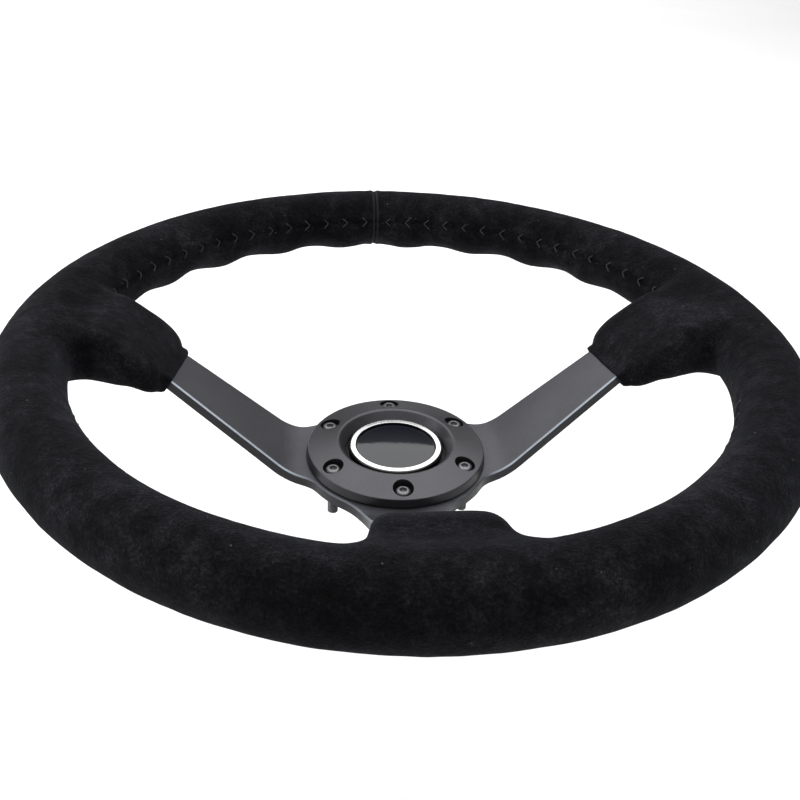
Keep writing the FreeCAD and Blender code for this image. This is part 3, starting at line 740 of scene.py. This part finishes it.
MATERIALS = {
    "suede": suede_material(),
    "lacing": thread_material(),
    "foam": plain_material("moulded_foam", grey(0.03), 0.9, 0.0008, 0.0004),
    # Painted shade: upright walls at 0.35 of the tone; painted highlight on the chamfers.
    "frame_anodised": metal_material(
        "frame_anodised", 0.068, 0.42, 0.75, (0.12, 1.0, 1.0), 0.25, 0.13, 0.35, True
    ),
    # Painted shade: upright walls at 0.5 of the tone.
    "ring_anodised": metal_material(
        "ring_anodised", 0.06, 0.38, 0.7, (1.0, 1.0, 1.0), 0.2, 0.1, 0.5
    ),
    "core_aluminium": metal_material("core_aluminium", 0.55, 0.4, 1.0, (0.3, 1.0, 1.0), 0.1),
    "screw_black": metal_material("screw_black", 0.14, 0.34, 0.9, (1.0, 1.0, 1.0)),
    "moulding": plain_material("black_moulding", grey(0.012), 0.45, 0.0006, 0.00006),
    "spring_wire": plain_material("spring_wire", grey(0.5), 0.25, 0.0005, 0.00003, 1.0, 0.0, 0.1),
    "contact_brass": plain_material("contact_brass", (0.62, 0.42, 0.16), 0.3, 0.0006, 0.00004, 1.0),
    "bezel_chrome": chrome_material(),
    "emblem_gloss": plain_material("emblem_gloss", (0.003, 0.004, 0.008), 0.05, 0.003, 0.00001),
}


def dress(piece, name):
    """Gives a piece one material."""
    piece.data.materials.clear()
    piece.data.materials.append(MATERIALS[name])


SLOT_OF = {part["node"]: part["material_slot"] for part in frame["record"]["subparts"]}
for node_name, node in NODES.items():
    if SLOT_OF[node_name] in MATERIALS:
        dress(node, SLOT_OF[node_name])


# ---- who stands for what, and who rides where ----------------------------------------------------
def stand_in(piece, slot_name, *nodes):
    """Dresses a piece, hides the nodes it stands for, and rides it with the wheel."""
    dress(piece, slot_name)
    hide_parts(*nodes)
    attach(piece, "wheel")


stand_in(suede, "suede", "rim_cover")
stand_in(foam, "foam", "rim_foam")
for side_name, piece in lacings.items():
    stand_in(piece, "lacing", "seam_lacing_" + side_name)
stand_in(screws, "screw_black", "hub_screws")
stand_in(spring, "spring_wire", "horn_spring")
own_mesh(spring)


# ---- camera, floor and light ---------------------------------------------------------------------
def look_matrix(eye, target, roll):
    """Rotation of a camera at eye that looks at target, rolled by an angle in radians."""
    forward = (target - eye).normalized()
    right = forward.cross(Vector((0, 0, 1))).normalized()
    up = right.cross(forward)
    turned_right = right * math.cos(roll) + up * math.sin(roll)
    turned_up = up * math.cos(roll) - right * math.sin(roll)
    turn = Matrix((turned_right, turned_up, -forward)).transposed()
    return turn.to_quaternion()


CAMERA_AT = Vector((-46.95, -375.56, 269.32)) * MM
CAMERA_TO = Vector((-10.48, 3.84, 33.0)) * MM
eye_data = bpy.data.cameras.new("camera")
eye_data.lens = 43.555
eye_data.sensor_width = 36.0
eye_data.shift_x = 0.0318
eye_data.clip_start = 0.01
camera = bpy.data.objects.new("camera", eye_data)
camera.rotation_mode = "QUATERNION"
camera.location = CAMERA_AT
camera.rotation_quaternion = look_matrix(CAMERA_AT, CAMERA_TO, math.radians(2.12))
bpy.context.scene.collection.objects.link(camera)
bpy.context.scene.camera = camera

FLOOR_DROP = 0.2
FLOOR_Z = CAD_BOX[0][2] - FLOOR_DROP
FLOOR_HALF = 6.0
floor_mesh = bpy.data.meshes.new("floor")
corners = ((-1, -1), (1, -1), (1, 1), (-1, 1))
floor_points = [(x * FLOOR_HALF, y * FLOOR_HALF, FLOOR_Z - 0.0002) for x, y in corners]
floor_mesh.from_pydata(floor_points, [], [(0, 1, 2, 3)])
floor = bpy.data.objects.new("floor", floor_mesh)
bpy.context.scene.collection.objects.link(floor)
floor_made, floor_tree, floor_shader = material("floor_pale")
floor_tone = noise_of(floor_tree, place_texture(floor_tree), 0.4, 2.0)
floor_colour = ramp_of(floor_tree, floor_tone, ((0.3, grey(0.9)), (0.7, grey(0.92))))
floor_tree.links.new(floor_colour, floor_shader.inputs["Base Color"])
floor_shader.inputs["Roughness"].default_value = 0.9
floor_shader.inputs["Specular IOR Level"].default_value = 0.1
floor_mesh.materials.append(floor_made)


def soft_light(name, at, to, size, power, size_y=None):
    """A rectangular area light that faces a point, in metres."""
    data = bpy.data.lights.new(name, "AREA")
    data.shape = "RECTANGLE"
    data.size = size
    data.size_y = size_y or size
    data.energy = power
    light = bpy.data.objects.new(name, data)
    light.location = at
    light.rotation_euler = (Vector(to) - Vector(at)).to_track_quat("-Z", "Y").to_euler()
    bpy.context.scene.collection.objects.link(light)


HUB = (0.0, 0.0, 0.02)
soft_light("overhead", (0.0, 0.58, 1.25), (0.0, 0.58, 0.0), 2.4, 36.0, 2.56)
soft_light("far_overhead", (0.0, 3.5, 1.25), (0.0, 3.5, 0.0), 3.6, 28.0, 1.5)
soft_light("left", (-1.7, 0.1, 0.45), HUB, 0.8, 12.0, 1.2)
soft_light("right", (1.7, 0.1, 0.45), HUB, 0.8, 0.3, 1.2)
soft_light("back_left", (-1.05, 1.5, 0.5), HUB, 0.7, 6.0, 0.8)
soft_light("back_right", (1.05, 1.5, 0.5), HUB, 0.7, 1.0, 0.8)
soft_light("front_strip", (0.3, -1.5, 1.0), HUB, 1.6, 1.0, 0.12)
world = bpy.data.worlds.new("studio")
world.use_nodes = True
sky = world.node_tree
sky_place = add_node(sky, "ShaderNodeTexCoord")
sky_split = add_node(sky, "ShaderNodeSeparateXYZ")
sky.links.new(sky_place.outputs["Generated"], sky_split.inputs[0])
sky_stops = ((0.0, grey(0.07)), (0.45, grey(0.08)), (0.7, grey(0.9)))
sky_tone = ramp_of(sky, sky_split.outputs["Z"], sky_stops)
sky.links.new(sky_tone, sky.nodes["Background"].inputs["Color"])
sky.nodes["Background"].inputs["Strength"].default_value = 0.8
bpy.context.scene.world = world
bpy.context.scene.view_settings.view_transform = "Standard"
